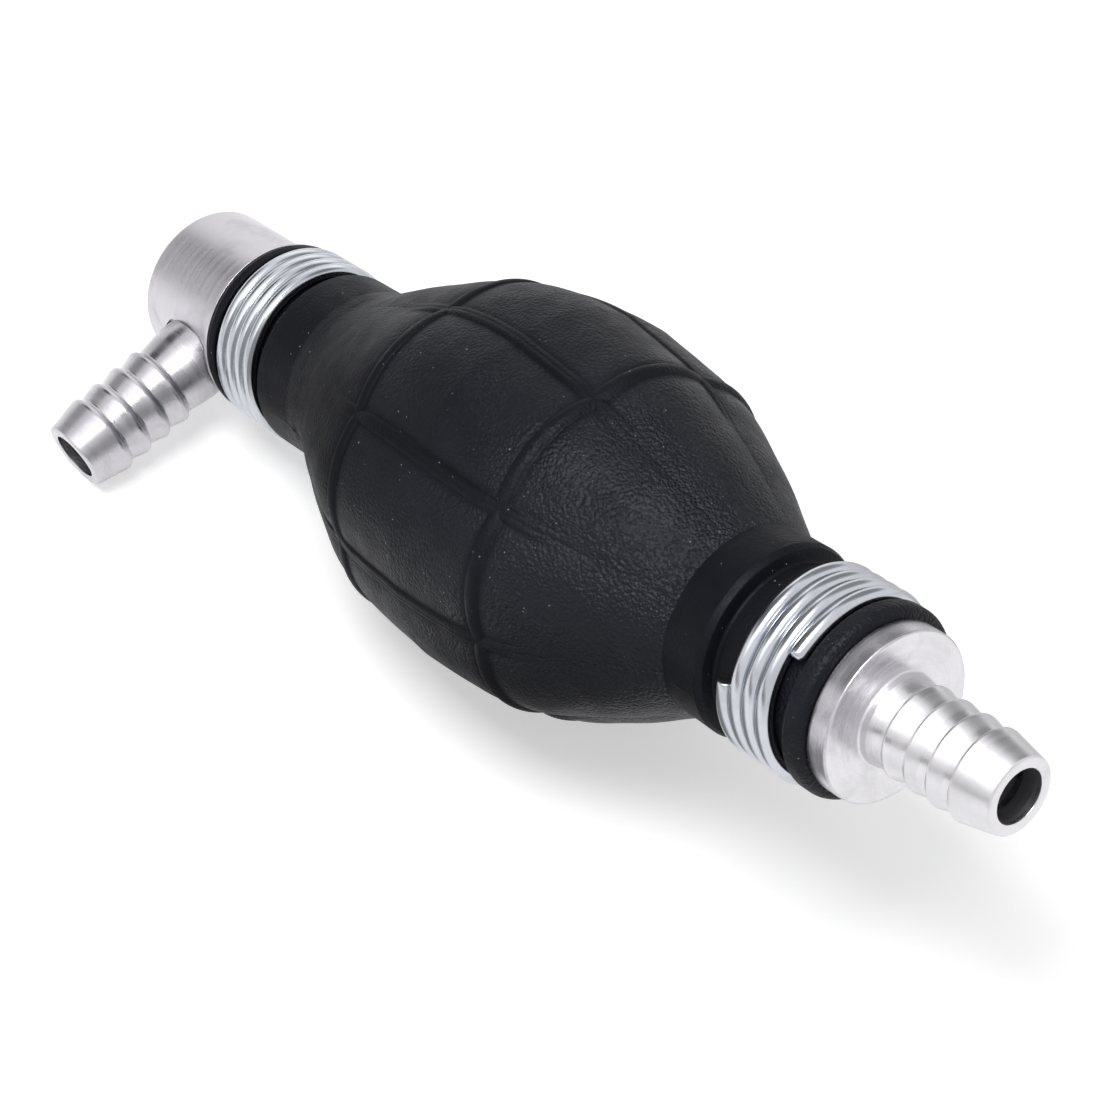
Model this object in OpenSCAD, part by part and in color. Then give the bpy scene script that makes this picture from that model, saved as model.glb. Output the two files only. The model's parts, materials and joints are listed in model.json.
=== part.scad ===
// Squeeze bulb primer pump: a ribbed rubber bulb with a straight hose fitting at its
// outlet, an elbow hose fitting at its inlet and a check valve inside each fitting.
// The pump lies on a bench: the end of the elbow, the tip of its hose tail and the
// bulb touch z = 0. Every piece is drawn on the pump's own axis, which is X with the
// outlet at +X and the middle of the belly at 0, and is then laid down by in_place().

/* [Bulb] */
// Length of the ribbed belly between its two creases
belly_len = 79; // [65:0.5:100]
// Diameter of the belly over its panels, at the middle
belly_dia = 56; // [46:0.2:68]
// How far the panels drop from the middle of the belly to the ring ribs
ring_drop = 1.6; // [0.4:0.1:4]
// Distance between the two ring ribs
ring_gap = 31.5; // [24:0.5:40]
// How far the panels bow outwards between a ring rib and the crease
cap_bow = 0.8; // [0:0.1:2]
// Depth of the valley that each long rib lies in
valley_depth = 1.2; // [0.6:0.1:2]
// Number of long ribs
rib_count = 8; // [6:1:10]
// Height of the ribs over the floor of their valley
rib_height = 0.7; // [0.3:0.1:1]
// Width of the ribs at their foot
rib_width = 2.2; // [1.4:0.1:3]
// How far the long ribs run on past the ring ribs
rib_run = 12; // [6:0.5:16]
// Turn of the first long rib from level, about the pump axis
rib_turn = 3.3; // [0:0.1:44]
// Thickness of the bulb's wall under the valleys
wall = 3; // [2:0.1:4]

/* [Necks] */
// Length of each neck, from the crease to the end of the rubber
neck_len = 25; // [20.5:0.5:32]
// Thickness of the rubber round the spigots, at the crease
neck_wall = 5.35; // [4.8:0.05:6.5]
// Thickness of the rubber under the wire
seat_wall = 2.7; // [2:0.05:3.5]
// Thickness of the rubber at the bead and at the lip
bead_wall = 4.85; // [4:0.05:5.8]
// How far the inlet's collar tapers, on the radius
inlet_taper = 0.8; // [0:0.1:1.2]
// Free length of the outlet's wire seat, beside the collar
outlet_seat_spare = 2.25; // [0.2:0.05:4]
// Free length of the inlet's wire seat, beside the collar
inlet_seat_spare = 0.55; // [0.2:0.05:4]
// Width of the rounded bead at the outlet's end of the rubber
outlet_bead_w = 3.2; // [3:0.1:4]
// Width of the thin lip at the inlet's end of the rubber
inlet_lip_w = 0.9; // [0.7:0.1:1.5]

/* [Wire clamps] */
// Thickness of the clamp wire
wire_dia = 2.0; // [1.6:0.05:2.4]
// Gap between one turn and the next
turn_gap = 0.5; // [0.45:0.05:0.6]
// Number of turns
wire_turns = 3.9; // [3:0.1:4.5]
// Angle of the outlet clamp's cut end beside the bulb
outlet_wire_angle = 163.6; // [0:0.1:360]
// Angle of the inlet clamp's cut end beside the elbow
inlet_wire_angle = 21.6; // [0:0.1:360]

/* [Fittings] */
// Diameter of the outlet's flange and of the elbow's head
fitting_dia = 24; // [20:0.5:29]
// Thickness of the outlet's flange
flange_t = 3.4; // [2.5:0.1:6]
// Length of the elbow's head
head_len = 18.4; // [15.2:0.2:24]
// Thickness of the thin rim where the elbow meets the rubber
rim_t = 0.6; // [0.4:0.1:0.8]
// How far that rim stands out past the head
rim_stand = 0.7; // [0.2:0.1:1.2]
// Depth of the spot face that the elbow's hose tail is seated in
spot_depth = 1.4; // [1:0.1:2]
// Diameter of the spigots that the rubber grips
spigot_dia = 18; // [15:0.1:21.6]
// Thickness of the spigots' wall round the valve
spigot_wall = 1.8; // [1.5:0.1:2.2]
// Distance from the crease to the spigot's mouth
mouth_set = 2; // [1:0.5:4]
// Depth of the grip grooves round the spigots
grip_depth = 0.5; // [0.2:0.1:0.7]

/* [Hose tails] */
// Diameter over the barbs
barb_dia = 13; // [10.8:0.1:15.6]
// Height of the barbs over their foot
barb_h = 0.8; // [0.4:0.1:1]
// How much the tip is smaller than the barbs, on the radius
tip_step = 1; // [0.8:0.1:1.2]
// Bore of the hose tails
bore_dia = 7.6; // [6:0.1:9.2]
// Length of the tip's cone
tip_len = 5.7; // [4.7:0.1:7]
// Spacing of the barbs
barb_pitch = 3.77; // [3.1:0.01:5]
// Number of short barbs behind the tip's cone
barb_count = 3; // [2:1:5]
// Length from the flange to the outlet's first barb
outlet_root_len = 4; // [2:0.1:12]
// Length from the spot face to the inlet's first barb
inlet_root_len = 7.9; // [5:0.1:16]

/* [Check valves] */
// Length of a valve cartridge
cartridge_len = 14; // [13:0.1:17]
// Thickness of a cartridge's wall
cartridge_wall = 1.2; // [0.9:0.1:1.5]
// Width of the liquid's way round the poppet
flow_gap = 1.5; // [1.2:0.1:1.8]
// How far the poppet covers the seat's lip on the outside
poppet_cover = 0.6; // [0.3:0.1:0.8]
// Lift of the poppet off its seat
lift = 2.6; // [2:0.1:2.8]
// Diameter of the poppet's guide stem
stem_pin_dia = 2.4; // [1.8:0.1:2.6]
// Wire thickness of the valve springs
spring_wire = 0.5; // [0.4:0.02:0.56]
// Outer diameter of the valve springs
spring_dia = 5.8; // [5.6:0.1:6.2]
// Number of turns of the valve springs
spring_turns = 5; // [4:0.5:5.5]

/* [Hidden] */

// Clearances: rubber on its spigot, wire over its seat, pieces pushed together,
// the running fit of a poppet's stem, and the gap under a closed valve
grip_gap = 0.05;
wire_gap = 0.2;
push_gap = 0.03;
run_gap = 0.05;
closed_gap = 0.02;
// Bevel on the turned edges, and the length by which a cut runs past a face
bevel = 0.3;
past = 1;
// Facets of large and small round forms
$fn = 96;
small_fn = 48;

// Spigot, the rubber round it, and the wire on that
spigot_r = spigot_dia / 2;
neck_bore_r = spigot_r + grip_gap;
neck_r = neck_bore_r + neck_wall;
bead_r = neck_bore_r + bead_wall;
seat_floor_r = neck_bore_r + seat_wall;
winding_r = seat_floor_r + wire_gap + wire_dia / 2;
wire_pitch = wire_dia + turn_gap;
winding_len = wire_pitch * wire_turns;
seat_len = winding_len + wire_dia + 2 * wire_gap;
outlet_collar_len = neck_len - outlet_bead_w - seat_len - outlet_seat_spare;
inlet_collar_len = neck_len - inlet_lip_w - seat_len - inlet_seat_spare;

// Radii of the fittings and of their hose tails
fitting_r = fitting_dia / 2;
bore_r = bore_dia / 2;
barb_r = barb_dia / 2;
foot_r = barb_r - barb_h;
tip_r = barb_r - tip_step;
root_step = 0.2;
root_r = barb_r - root_step;
spot_gap = 0.3;
spot_r = root_r + spot_gap;
spot_face = fitting_r - spot_depth;

// Places along the pump axis, and along the elbow's hose tail from that axis
belly_half = belly_len / 2;
rubber_end = belly_half + neck_len;
mouth = belly_half + mouth_set;
ring_x = ring_gap / 2;
ring_radius = belly_dia / 2 - ring_drop;
barbs_len = barb_count * barb_pitch + tip_len;
head_end = rubber_end + head_len;
flange_face = rubber_end + flange_t;
outlet_tail_len = outlet_root_len + barbs_len;
outlet_tip = flange_face + outlet_tail_len;
rim_room = 0.2;
stem_x = -(rubber_end + rim_t + rim_room + spot_r);
stem_len = inlet_root_len + barbs_len;
stem_reach = spot_face + stem_len;

// ---------- surface of the belly: a grid of points by formula ----------

// The belly stands a hair proud of the neck where they meet, and the neck laps into it
crease_step = 0.25;
neck_lap = 1.5;
sector = 360 / rib_count;
// Smooth step down from 1 to 0 as s runs from 0 to 1
function fade(s) = let (c = min(max(s, 0), 1)) 1 - c * c * (3 - 2 * c);
// Share of the way from a ring rib to the crease
function cap_share(u) = (abs(u) - ring_x) / (belly_half - ring_x);
// Radius over the panels at a distance u from the middle
function crest_r(u) = let (s = cap_share(u)) s < 0
    ? belly_dia / 2 - ring_drop * pow(u / ring_x, 2)
    : ring_radius * (1 - s) + (neck_r + crease_step) * s + 4 * cap_bow * s * (1 - s);
// Rounded bump of a rib at a distance d from its middle
function bump(d) = abs(d) < rib_width / 2 ? pow(cos(180 * d / rib_width), 2) : 0;
// Share of the valley's depth at an angle a from the nearest long rib
valley_power = 0.8;
function valley_share(a) = 1 - pow(sin(a * rib_count / 2), valley_power);
// Radius of the surface at u, and at an angle a past a long rib
function belly_r(u, a) =
    let (near = min(a, sector - a),
         base = crest_r(u) - valley_depth * fade(cap_share(u)) * valley_share(near),
         long_rib = fade((abs(u) - ring_x) / rib_run) * bump(base * near * PI / 180),
         ring_rib = bump(abs(u) - ring_x))
    base + rib_height * max(long_rib, ring_rib);

// Stations along the axis, closer over the ring ribs
barrel_steps = 4;
rib_steps = 4;
cap_steps = 8;
function steps(a, b, n) = [for (i = [0 : n - 1]) a + (b - a) * i / n];
half_stations = concat(
    steps(0, ring_x - rib_width / 2, barrel_steps),
    steps(ring_x - rib_width / 2, ring_x + rib_width / 2, rib_steps),
    steps(ring_x + rib_width / 2, belly_half, cap_steps), [belly_half]);
stations = concat([for (i = [len(half_stations) - 1 : -1 : 1]) -half_stations[i]],
    half_stations);
// Angles across one sector, closer over the long rib
panel_steps = 3;
rib_foot = rib_width / ring_radius * 180 / PI;
half_sector = concat(steps(0, rib_foot, rib_steps), steps(rib_foot, sector / 2, panel_steps),
    [sector / 2]);
sector_angles = concat(half_sector,
    [for (i = [len(half_sector) - 2 : -1 : 1]) sector - half_sector[i]]);
around = rib_count * len(sector_angles);

belly_points = [for (u = stations) for (k = [0 : rib_count - 1]) for (a = sector_angles)
    let (t = rib_turn + k * sector + a, r = belly_r(u, a)) [u, r * cos(t), r * sin(t)]];

// Triangles of a closed tube of rings along its length, with the same points in each ring
function tube_faces(rings, sides) = concat(
    [for (i = [0 : rings - 2]) for (j = [0 : sides - 1])
        let (a = i * sides + j, b = i * sides + (j + 1) % sides, c = b + sides, d = a + sides)
        each [[a, c, b], [a, d, c]]],
    [for (j = [1 : sides - 2]) [0, j, j + 1]],
    [for (j = [1 : sides - 2]) let (o = (rings - 1) * sides) [o, o + j + 1, o + j]]);

// ---------- the pose on the bench ----------

// Lowest points with the outlet raised by t and the elbow's tail dropped by p
function belly_low(t) = min([for (q = belly_points) q.x * sin(t) + q.z * cos(t)]);
function head_low(t) = -(head_end - bevel) * sin(t) - fitting_r * cos(t);
function circle_low(t, p, reach, r) = stem_x * sin(t) - reach * sin(p) * cos(t)
    - r * sqrt(pow(sin(t), 2) + pow(cos(p) * cos(t), 2));
function stem_low(t, p) = min(circle_low(t, p, stem_reach - bevel, tip_r),
    circle_low(t, p, stem_reach - tip_len, barb_r));
// Halving between lo and hi, n times, to the angle where two of them stand level
function solve_tilt(lo, hi, n) = let (m = (lo + hi) / 2) n == 0 ? m
    : head_low(m) > belly_low(m) ? solve_tilt(m, hi, n - 1) : solve_tilt(lo, m, n - 1);
function solve_drop(lo, hi, n, t) = let (m = (lo + hi) / 2) n == 0 ? m
    : stem_low(t, m) > head_low(t) ? solve_drop(m, hi, n - 1, t) : solve_drop(lo, m, n - 1, t);
tilt = solve_tilt(0, 30, 24);
stem_drop = solve_drop(0, 60, 24, tilt);

// The middle of the pump's outline in plan, and the height of its axis
left = -head_end * cos(tilt) - (fitting_r - bevel) * sin(tilt);
right = outlet_tip * cos(tilt) + (tip_r - bevel) * sin(tilt);
front = -stem_reach * cos(stem_drop) - (tip_r - bevel) * sin(stem_drop);
back = max([for (q = belly_points) q.y]);
place = [-(left + right) / 2, -(front + back) / 2, -head_low(tilt)];
echo(tilt = tilt, stem_drop = stem_drop, place = place);

module in_place() translate(place) rotate([0, -tilt, 0]) children();
module at_stem() translate([stem_x, 0, 0]) rotate([90 + stem_drop, 0, 0]) children();
// A turned form from an outline of [radius, position] points, and a plain round bar
module turned(outline, fn = $fn) rotate([0, 90, 0]) rotate_extrude($fn = fn) polygon(outline);
module bar(from, to, r, fn = $fn)
    translate([from, 0, 0]) rotate([0, 90, 0]) cylinder(h = to - from, r = r, $fn = fn);

// ---------- bulb ----------

collar_round = 0.8;
bead_round_share = 0.44;

// One neck along +X, solid: tapered collar, seat of the wire, and bead at the end
module neck(collar_len, collar_end_r, bead_w) {
    collar_end = belly_half + collar_len;
    bead_start = rubber_end - bead_w;
    c = bead_round_share * bead_w;
    rotate([0, 90, 0]) rotate_extrude() {
        polygon([[0, belly_half - neck_lap], [neck_r, belly_half - neck_lap],
            [neck_r, belly_half], [collar_end_r, collar_end - collar_round],
            [collar_end_r - collar_round, collar_end - collar_round],
            [collar_end_r - collar_round, collar_end], [0, collar_end]]);
        translate([collar_end_r - collar_round, collar_end - collar_round])
            circle(r = collar_round, $fn = small_fn);
        translate([0, collar_end - collar_round])
            square([seat_floor_r, rubber_end - collar_end]);
        translate([0, bead_start]) square([bead_r - c, bead_w]);
        translate([0, bead_start + c]) square([bead_r, bead_w - 2 * c]);
        for (z = [bead_start + c, rubber_end - c])
            translate([bead_r - c, z]) circle(r = c, $fn = small_fn);
    }
}

// Inside of the bulb: the pumping chamber in the belly and the bores of the necks
hollow_r = belly_dia / 2 - valley_depth - wall;
hollow_ring_r = ring_radius - valley_depth - wall;
hollow_end_r = neck_r - wall;
half_hollow = [[neck_bore_r, -rubber_end - past], [neck_bore_r, -belly_half],
    [hollow_end_r, -belly_half + neck_lap], [hollow_ring_r, -ring_x]];
module hollow() turned(concat([[0, -rubber_end - past]], half_hollow, [[hollow_r, 0]],
    [for (i = [len(half_hollow) - 1 : -1 : 0]) [half_hollow[i][0], -half_hollow[i][1]]],
    [[0, rubber_end + past]]));

module bulb() in_place() color([0.12, 0.12, 0.13]) difference() {
    union() {
        polyhedron(points = belly_points, faces = tube_faces(len(stations), around));
        neck(outlet_collar_len, neck_r, outlet_bead_w);
        mirror([1, 0, 0]) neck(inlet_collar_len, neck_r - inlet_taper, inlet_lip_w);
    }
    hollow();
}

// ---------- wound wire: the clamps and the valve springs ----------

// Middle line of a coil along X from u0 at angle a0, with a straight run at each end
function coil_at(i, n, u0, a0, r, pitch, turns) =
    let (a = a0 + 360 * turns * i / n) [u0 + pitch * turns * i / n, r * cos(a), r * sin(a)];
function coil_way(i, n, a0, r, pitch, turns) =
    let (a = a0 + 360 * turns * i / n, v = [pitch / (2 * PI), -r * sin(a), r * cos(a)]) v / norm(v);
function coil_out(i, n, a0, turns) =
    let (a = a0 + 360 * turns * i / n) [0, cos(a), sin(a)];
function coil_path(n, u0, a0, r, pitch, turns, run) = [for (i = [-1 : n + 1])
    let (k = min(max(i, 0), n), ahead = (i - k) * run)
    coil_at(k, n, u0, a0, r, pitch, turns) + ahead * coil_way(k, n, a0, r, pitch, turns)];
// Least gap between one turn of a path and the next, over the wire's thickness
function least_gap(path, skip, d) = min([for (i = [0 : len(path) - 1 - skip])
    for (j = [i + skip : len(path) - 1]) norm(path[i] - path[j])]) - d;

coil_sides = 6;
module coil(u0, a0, r, pitch, turns, rings, d, label) {
    n = round(turns * rings);
    path = coil_path(n, u0, a0, r, pitch, turns, d);
    points = [for (i = [-1 : n + 1]) let (k = min(max(i, 0), n), out = coil_out(k, n, a0, turns),
            side = cross(coil_way(k, n, a0, r, pitch, turns), out))
        for (j = [0 : coil_sides - 1]) let (t = 360 * j / coil_sides)
        path[i + 1] + d / 2 * (cos(t) * out + sin(t) * side)];
    echo(str(label, ": least gap of the wire to itself ",
        least_gap(path, round(rings / 2), d), " mm"));
    polyhedron(points = points, faces = tube_faces(n + 3, coil_sides));
}

clamp_rings = 24;
spring_rings = 8;
// The outermost turn lies against the bead, or against the lip
outlet_wire_u = rubber_end - outlet_bead_w - wire_dia / 2 - wire_gap - winding_len;
inlet_wire_u = -(rubber_end - inlet_lip_w - wire_dia / 2 - wire_gap);
module wire_clamp(u0, a0, label)
    coil(u0, a0, winding_r, wire_pitch, wire_turns, clamp_rings, wire_dia, label);
module outlet_wire_clamp() in_place() color([0.80, 0.82, 0.84])
    wire_clamp(outlet_wire_u, outlet_wire_angle, "outlet clamp");
module inlet_wire_clamp() in_place() color([0.80, 0.82, 0.84])
    wire_clamp(inlet_wire_u, inlet_wire_angle, "inlet clamp");

// ---------- fittings ----------

barb_step = 0.3;
barb_land = 0.35;
// Drill point of 118 degrees: length of the cone for a radius r
function drill_len(r) = r / tan(59);

// Outline of a hose tail from its root at 0 to its tip: root shoulder, short barbs, tip cone
function tail_outline(r, root_land, root_len) = concat(
    [[r, 0], [r, root_land]],
    [for (k = [0 : barb_count]) let (c = root_len + k * barb_pitch)
        each [[foot_r, c - barb_step], [barb_r, c], [barb_r, c + barb_land]]],
    [[tip_r, root_len + barbs_len - bevel], [tip_r - bevel, root_len + barbs_len]]);

// Spigot toward the outlet, with saw-tooth grip grooves under the wire
grip_count = 3;
grip_pitch = 4.2;
grip_len = 2.6;
first_grip = 4;
spigot_bevel = 1;
spigot_lap = 1;
module spigot() turned(concat(
    [[0, mouth], [spigot_r - spigot_bevel, mouth], [spigot_r, mouth + 2 * spigot_bevel]],
    [for (k = [grip_count - 1 : -1 : 0]) let (g = rubber_end - first_grip - k * grip_pitch)
        each [[spigot_r, g - grip_len], [spigot_r - grip_depth, g], [spigot_r, g]]],
    [[spigot_r, rubber_end + spigot_lap], [0, rubber_end + spigot_lap]]));

// Chamber of the valve, from the spigot's mouth to the shoulder the cartridge rests on
chamber_r = spigot_r - spigot_wall;
ring_inset = 1;
ring_t = 1;
ring_hold = 0.8;
ring_groove_r = chamber_r + ring_hold;
ring_end = ring_inset + ring_t + 2 * push_gap;
cartridge_near = mouth + ring_end + push_gap;
cartridge_far = cartridge_near + cartridge_len;
shoulder = cartridge_far + push_gap;
shoulder_w = 1.2;
shoulder_r = chamber_r - shoulder_w;
module chamber() {
    turned([[0, mouth - past], [chamber_r + bevel, mouth - past], [chamber_r + bevel, mouth],
        [chamber_r, mouth + bevel], [chamber_r, shoulder], [shoulder_r, shoulder],
        [bore_r, shoulder + drill_len(shoulder_r - bore_r)],
        [0, shoulder + drill_len(shoulder_r - bore_r)]]);
    bar(mouth + ring_inset, mouth + ring_end, ring_groove_r);
}

module outlet_fitting() in_place() color([0.83, 0.84, 0.85]) difference() {
    union() {
        spigot();
        turned([[0, rubber_end], [fitting_r - bevel, rubber_end], [fitting_r, rubber_end + bevel],
            [fitting_r, flange_face - bevel], [fitting_r - bevel, flange_face], [0, flange_face]]);
        translate([flange_face, 0, 0]) turned(concat([[0, -bevel], [root_r, -bevel]],
            tail_outline(root_r, bevel, outlet_root_len), [[0, outlet_tail_len]]));
    }
    chamber();
    bar(shoulder, outlet_tip + past, bore_r);
}

// Seat of the elbow's hose tail: spot face, hole of its shank and way to the pump axis
shank_step = 0.9;
shank_r = root_r - shank_step;
way_wall = 1.4;
shank_end = bore_r + way_wall;
way_step = 0.3;
way_r = bore_r - way_step;
way_end = stem_x - bore_r;
module inlet_elbow_head() in_place() color([0.72, 0.72, 0.73]) difference() {
    union() {
        mirror([1, 0, 0]) spigot();
        turned([[0, -head_end], [fitting_r - bevel, -head_end], [fitting_r, -head_end + bevel],
            [fitting_r, -rubber_end - rim_t], [fitting_r + rim_stand, -rubber_end - rim_t],
            [fitting_r + rim_stand, -rubber_end], [0, -rubber_end]]);
    }
    mirror([1, 0, 0]) chamber();
    turned([[0, way_end - drill_len(bore_r)], [bore_r, way_end], [bore_r, -shoulder],
        [0, -shoulder]]);
    at_stem() {
        translate([0, 0, spot_face]) cylinder(h = spot_depth + past, r = spot_r);
        translate([0, 0, shank_end]) cylinder(h = spot_face, r = shank_r + push_gap);
        cylinder(h = shank_end + past, r = way_r);
    }
}

root_cone_len = 4.2;
stem_root_land = inlet_root_len - barb_step - root_cone_len;
module inlet_hose_tail() in_place() color([0.83, 0.84, 0.85]) at_stem() difference() {
    translate([0, 0, spot_face]) rotate_extrude() polygon(concat(
        [[bore_r, shank_end - spot_face], [shank_r - bevel, shank_end - spot_face],
            [shank_r, shank_end - spot_face + bevel], [shank_r, 0]],
        tail_outline(root_r, stem_root_land, inlet_root_len), [[bore_r, stem_len]]));
    translate([0, 0, shank_end - past]) cylinder(h = stem_reach, r = bore_r);
}

// ---------- check valves: the same cartridge in both ends, opening toward +X ----------

cartridge_r = chamber_r - push_gap;
cartridge_bore_r = cartridge_r - cartridge_wall;
poppet_r = cartridge_bore_r - flow_gap;
lip_w = 0.6;
seat_r = poppet_r - poppet_cover - lip_w;
pin_r = stem_pin_dia / 2;
// Seat web with its raised lip, poppet washer and disc, counted from the seat end
web_t = 3.7;
lip_h = 0.3;
lip_top = web_t + lip_h;
washer_t = 0.8;
disc_t = 1.2;
disc_s = lip_top + closed_gap + washer_t;
disc_top = disc_s + disc_t;
// Groove of the housing's seal
groove_s = 1.1;
groove_w = 1.5;
seal_wire = 1.2;
groove_r = cartridge_r - seal_wire - push_gap;
// Spring retainer, let into the far end of the housing
retainer_t = 1.6;
retainer_lap = 0.3;
retainer_r = cartridge_bore_r + retainer_lap;
retainer_s = cartridge_len - retainer_t;
inlet_seat_u = -cartridge_far;
outlet_seat_u = cartridge_near;

module valve_housing(u) translate([u, 0, 0]) turned([
    [seat_r, bevel], [seat_r + bevel, 0], [cartridge_r - bevel, 0], [cartridge_r, bevel],
    [cartridge_r, groove_s], [groove_r, groove_s], [groove_r, groove_s + groove_w],
    [cartridge_r, groove_s + groove_w], [cartridge_r, cartridge_len - bevel],
    [cartridge_r - bevel, cartridge_len], [retainer_r, cartridge_len],
    [retainer_r, retainer_s], [cartridge_bore_r, retainer_s], [cartridge_bore_r, web_t],
    [seat_r + lip_w + lip_h, web_t], [seat_r + lip_w, lip_top], [seat_r, lip_top]]);
module housing_seal(u) translate([u + groove_s + groove_w / 2, 0, 0]) rotate([0, 90, 0])
    rotate_extrude() translate([groove_r + push_gap / 2 + seal_wire / 2, 0])
        circle(d = seal_wire, $fn = small_fn);

// Poppet: nose in the seat's hole, disc, collar that stops it at its full lift, and stem
// guided by the retainer
nose_gap = 1.3;
nose_r = seat_r - nose_gap;
nose_s = 1.6;
stop_w = 0.7;
stop_r = pin_r + stop_w;
stop_s = retainer_s - lift - closed_gap;
pin_out = 0.6;
module poppet(u) translate([u, 0, 0]) turned([
    [0, nose_s], [nose_r / 2, nose_s], [nose_r, nose_s + nose_r / 2], [nose_r, disc_s],
    [poppet_r, disc_s], [poppet_r, disc_top - bevel], [poppet_r - bevel, disc_top],
    [stop_r, disc_top], [stop_r, stop_s], [pin_r, stop_s],
    [pin_r, cartridge_len + pin_out - bevel],
    [pin_r - bevel, cartridge_len + pin_out], [0, cartridge_len + pin_out]], small_fn);
module poppet_seal(u) translate([u, 0, 0]) difference() {
    bar(lip_top + closed_gap, disc_s, poppet_r - bevel, small_fn);
    bar(web_t, disc_s + past, nose_r + push_gap, small_fn);
}

// Retainer: rim in the housing, hub round the poppet's stem, three arms between them
hub_margin = 0.5;
hub_r = spring_dia / 2 + hub_margin;
rim_w = 0.9;
arm_w = 1.6;
arm_count = 3;
module spring_retainer(u) translate([u, 0, 0]) difference() {
    bar(retainer_s, cartridge_len, retainer_r - push_gap);
    difference() {
        bar(retainer_s - past, cartridge_len + past, retainer_r - rim_w);
        bar(retainer_s - 2 * past, cartridge_len + 2 * past, hub_r);
        for (k = [0 : arm_count - 1]) rotate([360 / arm_count * k, 0, 0])
            translate([retainer_s - 2 * past, -arm_w / 2, 0])
                cube([retainer_t + 4 * past, arm_w, cartridge_r]);
    }
    bar(retainer_s - past, cartridge_len + past, pin_r + run_gap, small_fn);
}

// Spring between the poppet's disc and the retainer, with a little room at both ends
spring_room = 0.1;
spring_r = (spring_dia - spring_wire) / 2;
spring_s = disc_top + spring_wire / 2 + spring_room;
spring_len = retainer_s - spring_wire / 2 - spring_room - spring_s;
module valve_spring(u, label) coil(u + spring_s, 0, spring_r, spring_len / spring_turns,
    spring_turns, spring_rings, spring_wire, label);

// Retaining ring in the spigot's mouth, with two eyed lugs at its gap
ring_slack = 0.1;
ring_r = ring_groove_r - ring_slack;
ring_w = 1.5;
ring_opening = 5;
lug_r = 1.3;
lug_set = 0.7;
lug_at = ring_r - ring_w - lug_set;
lug_angle = 33;
eye_r = 0.55;
module retaining_ring(u) translate([u, 0, 0]) difference() {
    union() {
        difference() {
            bar(0, ring_t, ring_r);
            bar(-past, ring_t + past, ring_r - ring_w);
            translate([-past, -ring_opening / 2, 0])
                cube([ring_t + 2 * past, ring_opening, ring_groove_r + past]);
        }
        for (side = [-1, 1]) rotate([side * lug_angle, 0, 0]) translate([0, 0, lug_at])
            bar(0, ring_t, lug_r, small_fn);
    }
    for (side = [-1, 1]) rotate([side * lug_angle, 0, 0]) translate([0, 0, lug_at])
        bar(-past, ring_t + past, eye_r, small_fn);
}

brass = [0.72, 0.58, 0.30];
nitrile = [0.08, 0.08, 0.09];
acetal = [0.88, 0.87, 0.82];
steel = [0.66, 0.67, 0.69];
outlet_ring_u = mouth + ring_inset + push_gap;
inlet_ring_u = -outlet_ring_u - ring_t;

module inlet_valve_housing() in_place() color(brass) valve_housing(inlet_seat_u);
module inlet_housing_seal() in_place() color(nitrile) housing_seal(inlet_seat_u);
module inlet_poppet() in_place() color(acetal) poppet(inlet_seat_u);
module inlet_poppet_seal() in_place() color(nitrile) poppet_seal(inlet_seat_u);
module inlet_valve_spring() in_place() color(steel) valve_spring(inlet_seat_u, "inlet spring");
module inlet_spring_retainer() in_place() color(brass) spring_retainer(inlet_seat_u);
module inlet_retaining_ring() in_place() color(steel) retaining_ring(inlet_ring_u);
module outlet_valve_housing() in_place() color(brass) valve_housing(outlet_seat_u);
module outlet_housing_seal() in_place() color(nitrile) housing_seal(outlet_seat_u);
module outlet_poppet() in_place() color(acetal) poppet(outlet_seat_u);
module outlet_poppet_seal() in_place() color(nitrile) poppet_seal(outlet_seat_u);
module outlet_valve_spring() in_place() color(steel) valve_spring(outlet_seat_u, "outlet spring");
module outlet_spring_retainer() in_place() color(brass) spring_retainer(outlet_seat_u);
module outlet_retaining_ring() in_place() color(steel) retaining_ring(outlet_ring_u);

bulb();
inlet_wire_clamp();
outlet_wire_clamp();
inlet_elbow_head();
inlet_hose_tail();
outlet_fitting();
inlet_valve_housing();
inlet_housing_seal();
inlet_poppet();
inlet_poppet_seal();
inlet_valve_spring();
inlet_spring_retainer();
inlet_retaining_ring();
outlet_valve_housing();
outlet_housing_seal();
outlet_poppet();
outlet_poppet_seal();
outlet_valve_spring();
outlet_spring_retainer();
outlet_retaining_ring();
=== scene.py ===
import json
import math

import bmesh
import bpy
import numpy as np
from mathutils import Matrix, Vector


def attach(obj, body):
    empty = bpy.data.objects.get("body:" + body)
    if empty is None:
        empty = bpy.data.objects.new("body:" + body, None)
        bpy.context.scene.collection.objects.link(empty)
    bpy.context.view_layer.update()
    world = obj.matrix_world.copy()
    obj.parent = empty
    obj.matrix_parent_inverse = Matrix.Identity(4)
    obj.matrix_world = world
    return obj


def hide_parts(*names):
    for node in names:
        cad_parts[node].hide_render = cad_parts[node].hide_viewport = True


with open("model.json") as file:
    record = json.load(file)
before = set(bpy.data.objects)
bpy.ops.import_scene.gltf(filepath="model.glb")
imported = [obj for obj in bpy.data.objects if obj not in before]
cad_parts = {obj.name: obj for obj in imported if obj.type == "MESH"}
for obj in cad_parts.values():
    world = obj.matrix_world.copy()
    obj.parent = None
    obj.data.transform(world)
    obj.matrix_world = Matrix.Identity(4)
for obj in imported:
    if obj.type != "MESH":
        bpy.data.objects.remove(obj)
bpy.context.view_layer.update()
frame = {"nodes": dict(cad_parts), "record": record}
mm = 0.001
print("frame loaded:", len(frame["nodes"]), "nodes")

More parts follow.
